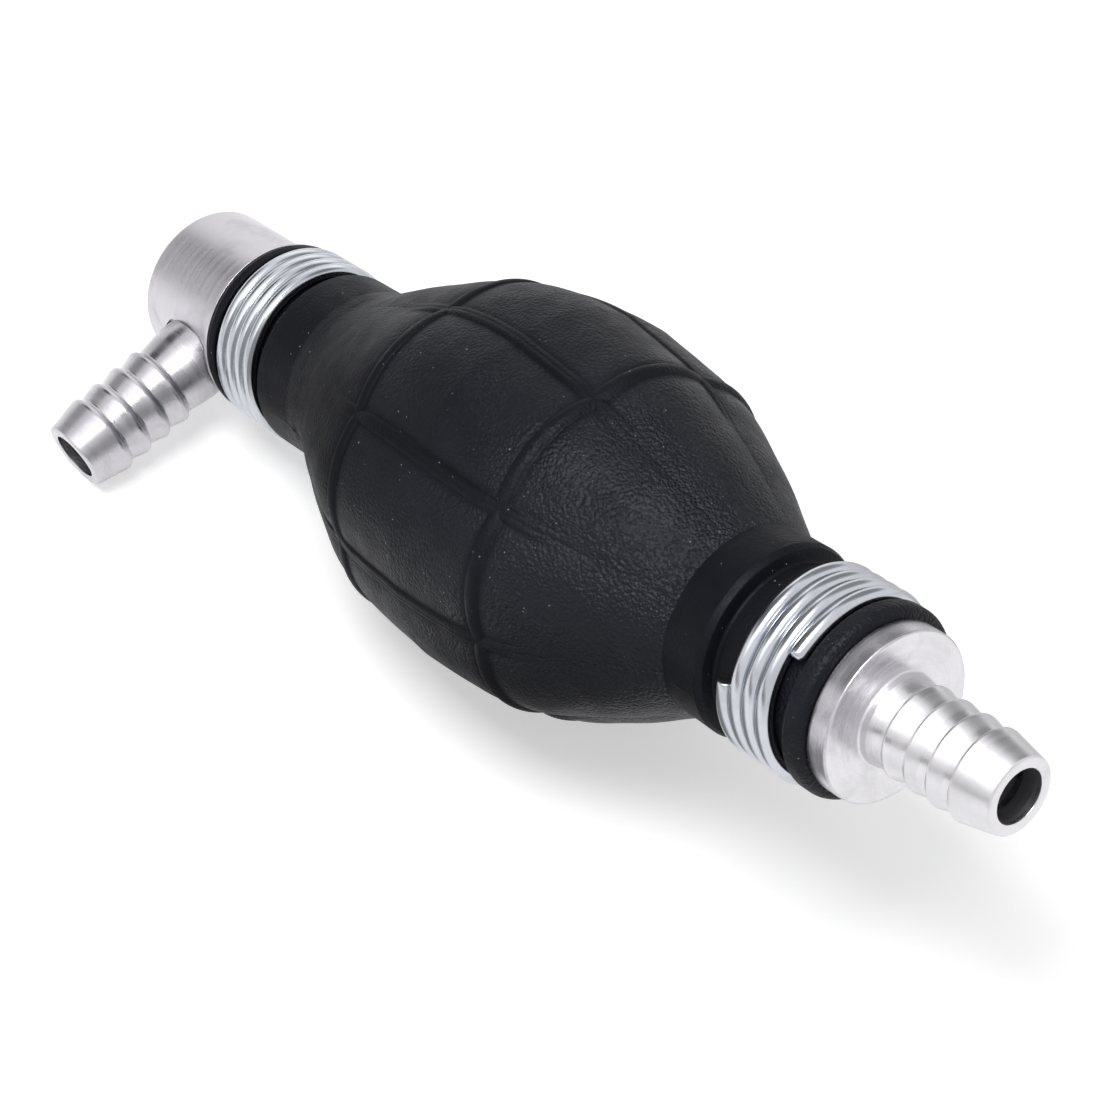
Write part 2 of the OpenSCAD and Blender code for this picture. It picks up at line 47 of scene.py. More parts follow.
# Every shape is drawn on the pump's own axis, in millimetres: x runs to the straight outlet tail,
# z is up across the axis, and the middle of the belly is at 0.
pump = {
    "outletTip": 88.91,  # end of the straight hose tail
    "bellyHalf": 39.5,   # where the belly meets the necks
    "rubberEnd": 64.5,   # end of both necks
    "stemAt": -71.9,     # where the elbow's hose tail crosses the axis
}

mounts = {m["name"]: m for m in frame["record"]["mounts"]}


def mountPoint(name, share):
    # a point on a bore's axis: share 1 is its open end
    m = mounts[name]
    half = m["dims"]["length_mm"] / 2 * mm
    return Vector(m["pos_m"]) + Vector(m["axis"]).normalized() * half * share


along = Vector(mounts["outlet_bore"]["axis"]).normalized()
across = Vector((0, 1, 0))
upward = along.cross(across)
pumpOrigin = mountPoint("outlet_bore", 1) - along * pump["outletTip"] * mm
pumpPlace = Matrix.Translation(pumpOrigin) @ Matrix((along, across, upward)).transposed().to_4x4()
stemWay = Vector(mounts["inlet_bore"]["axis"]).normalized()
stemOrigin = pumpOrigin + along * pump["stemAt"] * mm
stemSide = along.cross(stemWay).normalized()
stemPlace = Matrix.Translation(stemOrigin) @ Matrix((stemWay, -along, stemSide)).transposed().to_4x4()


def makeMesh(name, points, faces, place):
    # points are in the frame of the place, in millimetres; the piece itself stays at the origin
    turn, shift = np.array(place)[:3, :3], np.array(place)[:3, 3]
    mesh = bpy.data.meshes.new(name)
    mesh.from_pydata((np.asarray(points) * mm @ turn.T + shift).tolist(), [], [list(map(int, f)) for f in faces])
    mesh.validate()
    mesh.shade_smooth()
    piece = bpy.data.objects.new(name, mesh)
    bpy.context.scene.collection.objects.link(piece)
    return piece


def giveAttribute(piece, name, kind, values):
    attribute = piece.data.attributes.new(name, kind, "POINT")
    attribute.data.foreach_set("value" if kind == "FLOAT" else "vector", np.asarray(values, np.float32).ravel())


def rounded(corners, steps=5):
    # closed outline of (x, radius, fillet) corners, each fillet drawn as an arc
    out = []
    count = len(corners)
    for i, (x, r, fillet) in enumerate(corners):
        here = np.array([x, r], float)
        before = np.array(corners[i - 1][:2], float) - here
        after = np.array(corners[(i + 1) % count][:2], float) - here
        lb, la = np.linalg.norm(before), np.linalg.norm(after)
        before, after = before / lb, after / la
        half = math.acos(max(-1.0, min(1.0, float(before @ after)))) / 2
        if fillet <= 0 or abs(half - math.pi / 2) < 1e-3:
            out.append(here)
            continue
        cut = min(fillet / math.tan(half), 0.49 * lb, 0.49 * la)
        radius = cut * math.tan(half)
        middle = (before + after) / np.linalg.norm(before + after)
        centre = here + middle * radius / math.sin(half)
        start, end = here + before * cut - centre, here + after * cut - centre
        turn = math.atan2(start[0] * end[1] - start[1] * end[0], float(start @ end))
        for k in range(steps + 1):
            a = turn * k / steps
            out.append(centre + np.array([start[0] * math.cos(a) - start[1] * math.sin(a),
                                          start[0] * math.sin(a) + start[1] * math.cos(a)]))
    return np.array(out)


def ringFaces(rows, columns, closedRows=True):
    # quads between rows of a closed outline, turned round the axis
    i, j = np.meshgrid(np.arange(rows if closedRows else rows - 1), np.arange(columns), indexing="ij")
    i2, j2 = (i + 1) % rows, (j + 1) % columns
    quads = np.stack([i * columns + j, i2 * columns + j, i2 * columns + j2, i * columns + j2], -1)
    return quads.reshape(-1, 4)


def facingOut(piece):
    # the outward side of a closed mesh, worked out by Blender
    bm = bmesh.new()
    bm.from_mesh(piece.data)
    bmesh.ops.recalc_face_normals(bm, faces=bm.faces)
    bm.to_mesh(piece.data)
    bm.free()
    return piece


def turned(name, outline, place, sides=240):
    # closed outline turned about the axis; a corner at radius 0 becomes one point on it
    angles = np.arange(sides) * 2 * math.pi / sides
    points, rows, faces = [], [], []
    for x, r in outline:
        rows.append(list(range(len(points), len(points) + (sides if r > 0 else 1))))
        points += [(x, r * math.cos(a), r * math.sin(a)) for a in angles] if r > 0 else [(x, 0, 0)]
    for here, after in zip(rows, rows[1:] + rows[:1]):
        if len(here) == 1 and len(after) == 1:
            continue
        for j in range(sides):
            k = (j + 1) % sides
            quad = [here[j % len(here)], after[j % len(after)], after[k % len(after)], here[k % len(here)]]
            faces.append(list(dict.fromkeys(quad)))
    return facingOut(makeMesh(name, points, faces, place))


def evenNormals(piece, sharpAngle=None):
    # wide faces keep their own direction beside narrow fillets
    if sharpAngle:
        piece.data.set_sharp_from_angle(angle=math.radians(sharpAngle))
    modifier = piece.modifiers.new("evenNormals", "WEIGHTED_NORMAL")
    modifier.mode = "FACE_AREA"
    modifier.weight = 50
    modifier.keep_sharp = True
    return piece


def tube(name, centres, outs, radius, sides, place, endRound=0.0, roundAt=(True, True)):
    # wire along a path, with flat ends whose edges are rounded
    centres, outs = np.asarray(centres), np.asarray(outs)
    ways = np.gradient(centres, axis=0)
    ways /= np.linalg.norm(ways, axis=1)[:, None]
    sidesWay = np.cross(ways, outs)
    rings, lengths = [], np.concatenate([[0], np.cumsum(np.linalg.norm(np.diff(centres, axis=0), axis=1))])
    parts = [(centres[i], ways[i], outs[i], sidesWay[i], 1.0, lengths[i]) for i in range(len(centres))]
    for end, sign in ((0, -1), (-1, 1)):
        cap = []
        turnRound = endRound if roundAt[0 if end == 0 else 1] else endRound * 0.3
        for k in range(1, 6):
            a = math.pi / 2 * k / 5
            inward = turnRound * (1 - math.cos(a))
            forward = turnRound * math.sin(a)
            cap.append((centres[end] + sign * ways[end] * forward, ways[end], outs[end], sidesWay[end],
                        1 - inward / radius, lengths[end] + sign * forward))
        parts = cap[::-1] + parts if end == 0 else parts + cap
    angles = np.arange(sides) * 2 * math.pi / sides
    for centre, way, out, side, size, length in parts:
        ring = centre + radius * size * (np.cos(angles)[:, None] * out + np.sin(angles)[:, None] * side)
        rings.append(ring)
    rows = len(rings)
    quads = ringFaces(rows, sides, closedRows=False).tolist()
    faces = quads + [list(range(sides)), [(rows - 1) * sides + j for j in range(sides)][::-1]]
    piece = facingOut(makeMesh(name, np.concatenate(rings), faces, place))
    # distance along the wire and place round it, for the lines that drawing leaves
    run = [(p[5], math.cos(a), math.sin(a)) for p in parts for a in angles]
    giveAttribute(piece, "wireRun", "FLOAT_VECTOR", run)
    return piece


def newGroup(name, inputs, outputs):
    group = bpy.data.node_groups.new(name, "ShaderNodeTree")
    for socketName, kind, value in inputs:
        socket = group.interface.new_socket(name=socketName, in_out="INPUT", socket_type=kind)
        if value is not None:
            socket.default_value = value
    for socketName, kind in outputs:
        group.interface.new_socket(name=socketName, in_out="OUTPUT", socket_type=kind)
    return group, group.nodes.new("NodeGroupInput"), group.nodes.new("NodeGroupOutput")


def addNode(tree, kind, settings=None, **sockets):
    # sockets: name=value sets it, name=otherSocket links it, and i0 is the first input
    node = tree.nodes.new(kind)
    for key, value in (settings or {}).items():
        setattr(node, key, value)
    for key, value in sockets.items():
        byNumber = key[0] == "i" and key[1:].isdigit()
        socket = node.inputs[int(key[1:]) if byNumber else key.replace("_", " ")]
        if isinstance(value, bpy.types.NodeSocket):
            tree.links.new(value, socket)
        else:
            socket.default_value = value
    return node


def calc(tree, operation, a, b=0.0, clamp=False):
    return addNode(tree, "ShaderNodeMath", {"operation": operation, "use_clamp": clamp}, i0=a, i1=b).outputs[0]


def spread(tree, value, fromLow, fromHigh, toLow, toHigh):
    return addNode(tree, "ShaderNodeMapRange", {"interpolation_type": "SMOOTHSTEP"}, Value=value, From_Min=fromLow,
                   From_Max=fromHigh, To_Min=toLow, To_Max=toHigh).outputs[0]


def colourMix(tree, share, a, b):
    node = addNode(tree, "ShaderNodeMix", {"data_type": "RGBA"}, i0=share)
    for index, value in ((6, a), (7, b)):
        if isinstance(value, bpy.types.NodeSocket):
            tree.links.new(value, node.inputs[index])
        else:
            node.inputs[index].default_value = value
    return node.outputs[2]


def noise(tree, vector, scale, detail=2.0, roughness=0.5, distortion=0.0):
    node = addNode(tree, "ShaderNodeTexNoise", None, Vector=vector, Scale=scale, Detail=detail,
                   Roughness=roughness, Distortion=distortion)
    return node.outputs["Fac"]


def grey(v):
    return (v, v, v, 1)


def placeOf(tree, axis=pumpPlace):
    # position in millimetres, with x along the axis that the piece is turned or moulded about
    here = tree.nodes.new("ShaderNodeTexCoord").outputs["Object"]
    return addNode(tree, "ShaderNodeMapping", {"vector_type": "TEXTURE"}, Vector=here, Location=axis.to_translation(),
                   Rotation=axis.to_euler(), Scale=(mm, mm, mm)).outputs[0]


def buildGrain():
    # fine leather-like grain of the mould
    tree, given, out = newGroup("mouldGrain", [
        ("Place", "NodeSocketVector", None), ("Size", "NodeSocketFloat", 0.5),
        ("Unevenness", "NodeSocketFloat", 0.5)], [("Height", "NodeSocketFloat")])
    here = given.outputs["Place"]
    wobble = addNode(tree, "ShaderNodeTexNoise", None, Vector=here, Scale=1.1, Detail=2.0).outputs["Color"]
    bent = addNode(tree, "ShaderNodeVectorMath", {"operation": "MULTIPLY_ADD"}, i0=wobble, i1=(0.5, 0.5, 0.5),
                   i2=here)
    perSize = calc(tree, "DIVIDE", 1.0, given.outputs["Size"])
    cells = addNode(tree, "ShaderNodeTexVoronoi", {"feature": "SMOOTH_F1"}, Vector=bent.outputs[0], Scale=perSize,
                    Smoothness=0.6, Randomness=1.0).outputs["Distance"]
    fine = noise(tree, here, 4.0, 3.0, 0.6)
    patches = spread(tree, noise(tree, here, 0.12, 2.0), 0.35, 0.65, 0.0, 1.0)
    depth = addNode(tree, "ShaderNodeMix", {"data_type": "FLOAT"}, i0=given.outputs["Unevenness"], i2=1.0, i3=patches)
    raised = calc(tree, "MULTIPLY", calc(tree, "SUBTRACT", 1.0, cells), depth.outputs[0])
    height = calc(tree, "ADD", raised, calc(tree, "MULTIPLY", fine, 0.35))
    tree.links.new(height, out.inputs["Height"])
    return tree


def buildDust():
    # sparse pale specks
    tree, given, out = newGroup("dust", [
        ("Place", "NodeSocketVector", None), ("Spacing", "NodeSocketFloat", 2.0),
        ("Share", "NodeSocketFloat", 0.3), ("Radius", "NodeSocketFloat", 0.1)], [("Mask", "NodeSocketFloat")])
    here = given.outputs["Place"]
    perSpace = calc(tree, "DIVIDE", 1.0, given.outputs["Spacing"])
    cells = addNode(tree, "ShaderNodeTexVoronoi", None, Vector=here, Scale=perSpace)
    apart = calc(tree, "MULTIPLY", cells.outputs["Distance"], given.outputs["Spacing"])
    pick = addNode(tree, "ShaderNodeSeparateColor", None, Color=cells.outputs["Color"])
    size = calc(tree, "MULTIPLY", given.outputs["Radius"], pick.outputs[1])
    speck = calc(tree, "LESS_THAN", apart, size)
    chosen = calc(tree, "LESS_THAN", pick.outputs[0], given.outputs["Share"])
    tree.links.new(calc(tree, "MULTIPLY", speck, chosen), out.inputs["Mask"])
    return tree


def lengthAndRadius(tree, here):
    # how far along the axis, and how far from it
    parts = addNode(tree, "ShaderNodeSeparateXYZ", None, Vector=here).outputs
    flat = addNode(tree, "ShaderNodeCombineXYZ", None, Y=parts[1], Z=parts[2]).outputs[0]
    return parts[0], addNode(tree, "ShaderNodeVectorMath", {"operation": "LENGTH"}, Vector=flat).outputs["Value"]


def buildToolMarks():
    # rings left by the turning tool, which follow the outline of a turned piece
    tree, given, out = newGroup("toolMarks", [
        ("Place", "NodeSocketVector", None), ("Feed", "NodeSocketFloat", 0.12),
        ("Chatter", "NodeSocketFloat", 0.3)], [("Height", "NodeSocketFloat"), ("Band", "NodeSocketFloat")])
    here = given.outputs["Place"]
    length, radius = lengthAndRadius(tree, here)
    run = calc(tree, "ADD", length, calc(tree, "MULTIPLY", radius, 1.37))
    perFeed = calc(tree, "DIVIDE", 1.0, given.outputs["Feed"])
    lines = addNode(tree, "ShaderNodeTexNoise", {"noise_dimensions": "1D"}, W=run, Scale=perFeed,
                    Detail=3.0).outputs["Fac"]
    wide = addNode(tree, "ShaderNodeTexNoise", {"noise_dimensions": "1D"}, W=run,
                   Scale=calc(tree, "MULTIPLY", perFeed, 0.13), Detail=2.0).outputs["Fac"]
    chatter = calc(tree, "MULTIPLY", noise(tree, here, 1.6, 3.0), given.outputs["Chatter"])
    tree.links.new(calc(tree, "ADD", lines, chatter), out.inputs["Height"])
    tree.links.new(wide, out.inputs["Band"])
    return tree


def buildSmears():
    # smears and handling marks on metal
    tree, given, out = newGroup("smears", [
        ("Place", "NodeSocketVector", None), ("Size", "NodeSocketFloat", 6.0),
        ("Amount", "NodeSocketFloat", 0.5)], [("Mask", "NodeSocketFloat"), ("Scratch", "NodeSocketFloat")])
    here = given.outputs["Place"]
    perSize = calc(tree, "DIVIDE", 1.0, given.outputs["Size"])
    broad = noise(tree, here, perSize, 4.0, 0.6, 0.6)
    mask = calc(tree, "MULTIPLY", spread(tree, broad, 0.45, 0.7, 0.0, 1.0), given.outputs["Amount"])
    stretched = addNode(tree, "ShaderNodeMapping", {"vector_type": "TEXTURE"}, Vector=here, Rotation=(0.4, 0.7, 0.2),
                        Scale=(0.12, 3.0, 1.0)).outputs[0]
    hair = noise(tree, stretched, 1.2, 4.0, 0.7)
    tree.links.new(mask, out.inputs["Mask"])
    tree.links.new(spread(tree, hair, 0.64, 0.72, 0.0, 1.0), out.inputs["Scratch"])
    return tree


grainGroup, dustGroup, toolGroup, smearGroup = buildGrain(), buildDust(), buildToolMarks(), buildSmears()


def startMaterial(name, settings):
    material = bpy.data.materials.new(name)
    material.use_nodes = True
    tree = material.node_tree
    shader = tree.nodes["Principled BSDF"]
    for key, value in settings.items():
        shader.inputs[key].default_value = value
    return material, tree, shader


def useGroup(tree, group, here, **values):
    node = tree.nodes.new("ShaderNodeGroup")
    node.node_tree = group
    tree.links.new(here, node.inputs["Place"])
    for key, value in values.items():
        node.inputs[key].default_value = value
    return node.outputs


def bumped(tree, shader, height, strength, distance):
    bump = addNode(tree, "ShaderNodeBump", None, Height=height, Strength=strength, Distance=distance)
    tree.links.new(bump.outputs[0], shader.inputs["Normal"])


rubberLook = {
    "colour": (0.0040, 0.0042, 0.0068, 1), "paleColour": (0.0068, 0.0071, 0.0105, 1),
    # painted shade: the dark colour that ribs, necks and the inlet's cap are mixed towards
    "paintedShadeColour": (0.0024, 0.0025, 0.0042, 1), "tint": (0.86, 0.89, 1, 1),
    "dustColour": (0.30, 0.30, 0.32, 1), "dust": {"Spacing": 1.0, "Share": 0.3, "Radius": 0.11},
    # ribs and necks are duller than panels, and the outlet's cap is the smoothest
    "shine": (0.11, 0.235), "roughness": (0.47, 0.57), "capPolish": 0.12,
    "grain": {"Size": 0.47, "Unevenness": 0.55}, "grainShare": (0.2, 1.25), "grainDepth": 0.0003, "bump": 0.8,
}


def rubberMaterial():
    # the attribute panel is about 0.4 on ribs and necks, 1 on a panel and 1.4 on the outlet's cap; where it is below 1
    # the colour is darkened, as painted shade on the ribs, necks and inlet's cap
    look = rubberLook
    material, tree, shader = startMaterial("mouldedRubber", {"Specular Tint": look["tint"]})
    here = placeOf(tree)
    grain = useGroup(tree, grainGroup, here, **look["grain"])
    dust = useGroup(tree, dustGroup, here, **look["dust"])
    cloud = spread(tree, noise(tree, here, 0.11, 4.0, 0.6), 0.35, 0.7, 0.0, 1.0)
    body = colourMix(tree, cloud, look["colour"], look["paleColour"])
    panel = addNode(tree, "ShaderNodeAttribute", {"attribute_name": "panel"}).outputs["Fac"]
    # painted shade: where panel is below 1, on ribs, necks and the inlet's cap, the colour is mixed towards the darker
    # one
    body = colourMix(tree, panel, look["paintedShadeColour"], body)
    tree.links.new(colourMix(tree, dust["Mask"], body, look["dustColour"]), shader.inputs["Base Color"])
    tree.links.new(spread(tree, panel, 0.0, 1.5, *look["shine"]), shader.inputs["Specular IOR Level"])
    rough = spread(tree, noise(tree, here, 0.3, 3.0), 0.3, 0.7, *look["roughness"])
    rough = calc(tree, "SUBTRACT", rough, spread(tree, panel, 1.0, 1.35, 0.0, look["capPolish"]))
    tree.links.new(rough, shader.inputs["Roughness"])
    height = calc(tree, "MULTIPLY", grain["Height"], spread(tree, panel, 0.2, 1.4, *look["grainShare"]))
    bumped(tree, shader, height, look["bump"], look["grainDepth"])
    return material


def metalMaterial(name, look, axis=pumpPlace):
    # turned metal: tool rings in the bump and the roughness, smears in the colour; the widest rim can be darker in
    # mottled patches
    material, tree, shader = startMaterial(name, {"Metallic": 1.0})
    here = placeOf(tree, axis)
    marks = useGroup(tree, toolGroup, here, Feed=look["feed"], Chatter=look["chatter"])
    smears = useGroup(tree, smearGroup, here, Size=look["smearSize"], Amount=look["smears"])
    colour = colourMix(tree, smears["Mask"], look["colour"], look["smearColour"])
    colour = colourMix(tree, calc(tree, "MULTIPLY", smears["Scratch"], look["scratches"]), colour, look["smearColour"])
    # the widest rim is given a darker colour in mottled patches
    if "darkRimFrom" in look:
        radius = lengthAndRadius(tree, here)[1]
        wide = spread(tree, radius, look["darkRimFrom"] - 0.25, look["darkRimFrom"], 0.0, 1.0)
        mottle = spread(tree, noise(tree, here, 0.35, 4.0, 0.65), 0.3, 0.7, 0.35, 1.0)
        colour = colourMix(tree, calc(tree, "MULTIPLY", wide, mottle), colour, look["darkerColour"])
    tree.links.new(colour, shader.inputs["Base Color"])
    rough = spread(tree, marks["Band"], 0.3, 0.7, *look["roughness"])
    rough = calc(tree, "ADD", rough, calc(tree, "MULTIPLY", smears["Mask"], 0.12))
    tree.links.new(rough, shader.inputs["Roughness"])
    bumped(tree, shader, marks["Height"], look["bump"], 0.00003)
    return material


brightAluminium = {"colour": (0.66, 0.65, 0.675, 1), "smearColour": (0.50, 0.49, 0.51, 1), "roughness": (0.22, 0.36),
                   "feed": 0.26, "chatter": 0.25, "smearSize": 5.0, "smears": 0.35, "scratches": 0.25, "bump": 0.35,
                   "darkRimFrom": 11.9, "darkerColour": (0.46, 0.45, 0.49, 1)}
tailAluminium = {"colour": (0.54, 0.53, 0.56, 1), "smearColour": (0.39, 0.38, 0.41, 1), "roughness": (0.22, 0.32),
                 "feed": 0.26, "chatter": 0.25, "smearSize": 5.0, "smears": 0.4, "scratches": 0.2, "bump": 0.3}
satinAluminium = {"colour": (0.61, 0.595, 0.63, 1), "smearColour": (0.45, 0.44, 0.47, 1), "roughness": (0.34, 0.44),
                  "feed": 0.10, "chatter": 0.6, "smearSize": 7.0, "smears": 0.5, "scratches": 0.15, "bump": 0.2}
brassLook = {"colour": (0.72, 0.53, 0.25, 1), "smearColour": (0.48, 0.33, 0.15, 1), "roughness": (0.2, 0.35),
             "feed": 0.14, "chatter": 0.3, "smearSize": 3.0, "smears": 0.4, "scratches": 0.2, "bump": 0.3}
springLook = {"colour": (0.62, 0.63, 0.65, 1), "smearColour": (0.42, 0.43, 0.45, 1), "roughness": (0.2, 0.3),
              "feed": 0.2, "chatter": 0.5, "smearSize": 2.0, "smears": 0.4, "scratches": 0.3, "bump": 0.2}

wireLook = {"colour": (0.56, 0.58, 0.62, 1), "darkerColour": (0.45, 0.47, 0.51, 1), "roughness": (0.16, 0.24),
            "lines": (0.08, 3.2, 3.2), "cloudScale": 0.16}


def wireMaterial():
    # zinc plate over drawn wire: faint lines along the wire and a soft unevenness
    material, tree, shader = startMaterial("zincWire", {"Metallic": 1.0})
    run = addNode(tree, "ShaderNodeAttribute", {"attribute_name": "wireRun"}).outputs["Vector"]
    lengthwise = addNode(tree, "ShaderNodeMapping", None, Vector=run, Scale=wireLook["lines"]).outputs[0]
    lines = noise(tree, lengthwise, 1.0, 4.0, 0.6)
    clouds = spread(tree, noise(tree, placeOf(tree), wireLook["cloudScale"], 3.0, 0.5), 0.4, 0.75, 0.0, 1.0)
    colour = colourMix(tree, clouds, wireLook["colour"], wireLook["darkerColour"])
    tree.links.new(colour, shader.inputs["Base Color"])
    tree.links.new(spread(tree, lines, 0.3, 0.7, *wireLook["roughness"]), shader.inputs["Roughness"])
    bumped(tree, shader, lines, 0.12, 0.00002)
    return material


def plainMaterial(name, colour, dark, roughness, scale):
    # small inner pieces: a little colour and roughness variation
    material, tree, shader = startMaterial(name, {"Specular IOR Level": 0.4})
    here = placeOf(tree)
    cloud = noise(tree, here, scale, 3.0)
    tree.links.new(colourMix(tree, cloud, colour, dark), shader.inputs["Base Color"])
    tree.links.new(spread(tree, cloud, 0.3, 0.7, *roughness), shader.inputs["Roughness"])
    bumped(tree, shader, noise(tree, here, scale * 6, 3.0), 0.2, 0.00003)
    return material


rubber = rubberMaterial()
bright = metalMaterial("turnedAluminium", brightAluminium)
brightTail = metalMaterial("turnedAluminiumTail", tailAluminium, stemPlace)
satin = metalMaterial("satinAluminium", satinAluminium)
brass = metalMaterial("valveBrass", brassLook)
springSteel = metalMaterial("springSteel", springLook)
zinc = wireMaterial()
nitrile = plainMaterial("sealNitrile", (0.02, 0.02, 0.021, 1), (0.035, 0.035, 0.036, 1), (0.35, 0.5), 0.8)
acetal = plainMaterial("poppetAcetal", (0.82, 0.80, 0.74, 1), (0.74, 0.72, 0.66, 1), (0.3, 0.42), 0.6)
print("materials made")

bulb = {
    # radius over the panels at stations from the middle towards each neck
    "stations": (0, 8, 15.75, 20, 25, 30, 35, 39.5, 43),
    "outletRadii": (27.59, 26.9, 25.8, 24.31, 21.93, 19.47, 16.53, 13.95, 11.9),
    "inletRadii": (27.59, 27.05, 25.65, 24.3, 22.05, 19.68, 16.93, 14.59, 13.65),
    # the soft moulding is not quite straight: its middle line wanders to one side
    "swayAt": (-46, -36, -29, -20, -12, -4, 4, 12, 20, 28, 36, 46),
    "sway": (0, 0.15, -0.1, -0.1, 0.45, 0.6, 0.2, -0.15, -0.33, -0.17, 0, 0), "swayAngle": 42,
    "ringAt": 15.75, "panels": 8, "firstRib": 3.3,
    "valleyDepth": 1.2, "valleyPower": 0.8, "valleyFade": 0.8, "valleyEnd": 41.0,
    "ribHeight": 0.6, "ribHalf": 1.05, "ribRun": 12.0, "ringValley": 0.25, "ringValleyHalf": 3.2,
    "partingHeight": 0.12, "partingHalf": 0.35,
    "boreRadius": 9.05, "seatRadius": 11.75, "beadRadius": 13.45, "beadWidth": 3.2,
    "outletNeck": 13.8, "outletCollar": 7.4, "inletCollar": 11.4, "inletCollarRadius": 13.6,
    "lipRadius": 13.5, "lipStart": 62.25, "wall": 3.0,
    # the mesh is closer over the rings, over the outlet's crease and over the long ribs
    "ringSpan": 1.5, "creaseSpan": (39, 40.6), "ribSpare": 0.15, "ribRadius": 26,
    # finish: the share that ribs lose, the gain and loss on the two caps, and the plain parts; where these lower the
    # share, the rubber's colour is also darkened as painted shade
    "ribLoss": 0.55, "outletGain": 0.4, "inletLoss": 0.3, "grainEnd": 39.8, "neckFinishAndShade": 0.4, "beadFinishAndShade": 0.8,
}


def fade(s):
    c = np.clip(s, 0, 1)
    return 1 - c * c * (3 - 2 * c)


def ridge(d, half):
    # rounded ridge with a crisp foot
    return np.sqrt(np.clip(1 - (d / half) ** 2, 0, 1)) ** 1.4


def smoothCurve(x, stations, values):
    # soft curve through the values
    s, v = np.array(stations, float), np.array(values, float)
    slope = np.gradient(v, s)
    i = np.clip(np.searchsorted(s, x, side="right") - 1, 0, len(s) - 2)
    width = s[i + 1] - s[i]
    t = np.clip((x - s[i]) / width, 0, 1)
    return (v[i] * (1 + 2 * t) * (1 - t) ** 2 + slope[i] * width * t * (1 - t) ** 2
            + v[i + 1] * t * t * (3 - 2 * t) + slope[i + 1] * width * t * t * (t - 1))


def bellyRadius(x, angle):
    b = bulb
    u = np.abs(x)
    share = np.clip((u - b["ringAt"]) / (pump["bellyHalf"] - b["ringAt"]), 0, 1)
    # the outlet's neck starts at a crisp crease, the inlet's runs in softly
    outletSide = np.maximum(smoothCurve(u, b["stations"], b["outletRadii"]), b["outletNeck"])
    crest = np.where(x > 0, outletSide, smoothCurve(u, b["stations"], b["inletRadii"]))
    sector = 2 * math.pi / b["panels"]
    fromRib = np.mod(angle - math.radians(b["firstRib"]) + sector / 2, sector) - sector / 2
    valley = 1 - np.abs(np.sin(fromRib * b["panels"] / 2)) ** b["valleyPower"]
    ringDip = b["ringValley"] * np.exp(-((u - b["ringAt"]) / b["ringValleyHalf"] * 1.6) ** 2)
    depth = b["valleyDepth"] * fade(share * b["valleyFade"]) * (u < b["valleyEnd"])
    base = crest - depth * valley - ringDip
    arc = base * fromRib
    longRib = fade((u - b["ringAt"]) / b["ribRun"]) * ridge(arc, b["ribHalf"])
    ringRib = ridge(u - b["ringAt"], b["ribHalf"])
    # the parting line of the mould runs on from two opposite ribs, and stops at the inlet's cap on one
    around = np.mod(angle - math.radians(b["firstRib"]) + math.pi, 2 * math.pi) - math.pi
    onLine = (ridge(base * around, b["partingHalf"]) * (x > 0)
              + ridge(base * (np.abs(around) - math.pi), b["partingHalf"]))
    return base + np.maximum(b["ribHeight"] * np.maximum(longRib, ringRib), b["partingHeight"] * onLine)


def bulbOutline():
    # closed outline from the outlet's bore over the outside to the inlet's bore, and back inside
    b, end, crease = bulb, pump["rubberEnd"], pump["bellyHalf"]
    collarEnd = crease + b["outletCollar"]
    inletCollarEnd = -(crease + b["inletCollar"])
    bead = end - b["beadWidth"]
    bellyEnd = b["stations"][-1]
    outlet = rounded([
        (end + 5, b["boreRadius"], 0), (end, b["boreRadius"], 0.2), (end, b["beadRadius"], 1.15),
        (bead, b["beadRadius"], 1.35), (bead, b["seatRadius"], 0.35), (collarEnd + 0.5, b["seatRadius"], 0.5),
        (collarEnd, b["outletNeck"] - 0.3, 0.35), (collarEnd - 1.0, b["outletNeck"] + 0.08, 0.5),
        (bellyEnd + 0.4, b["outletNeck"], 0),
    ], 6)[1:]
    belly = np.array([(x, 0) for x in bellyStations()])
    inlet = rounded([
        (-bellyEnd - 0.4, b["inletRadii"][-1], 0), (inletCollarEnd + 2.0, b["inletCollarRadius"] + 0.03, 1.5),
        (inletCollarEnd, b["inletCollarRadius"], 0.5), (inletCollarEnd, b["seatRadius"], 0.3),
        (-b["lipStart"], b["seatRadius"], 0.3), (-b["lipStart"], b["lipRadius"] - 0.1, 0.35),
        (-end + 1.0, b["lipRadius"], 0.5), (-end, b["lipRadius"] - 0.55, 0.4),
        (-end, b["boreRadius"], 0.2), (-end - 5, b["boreRadius"], 0),
    ], 6)[:-1]
    innerNeck = crease - 1.5
    middle, ring = (b["outletRadii"][k] - b["valleyDepth"] - b["wall"] for k in (0, 2))
    neckHollow = b["outletNeck"] - b["wall"]
    inside = rounded([
        (-crease - 2, b["boreRadius"], 0), (-crease, b["boreRadius"], 0.3), (-innerNeck, neckHollow, 2),
        (-b["ringAt"], ring, 6), (0, middle, 30), (b["ringAt"], ring, 6),
        (innerNeck, neckHollow, 2), (crease, b["boreRadius"], 0.3), (crease + 2, b["boreRadius"], 0),
    ], 6)
    isBelly = np.concatenate([np.zeros(len(outlet)), np.ones(len(belly)), np.zeros(len(inlet) + len(inside))])
    return np.concatenate([outlet, belly, inlet, inside]), isBelly > 0


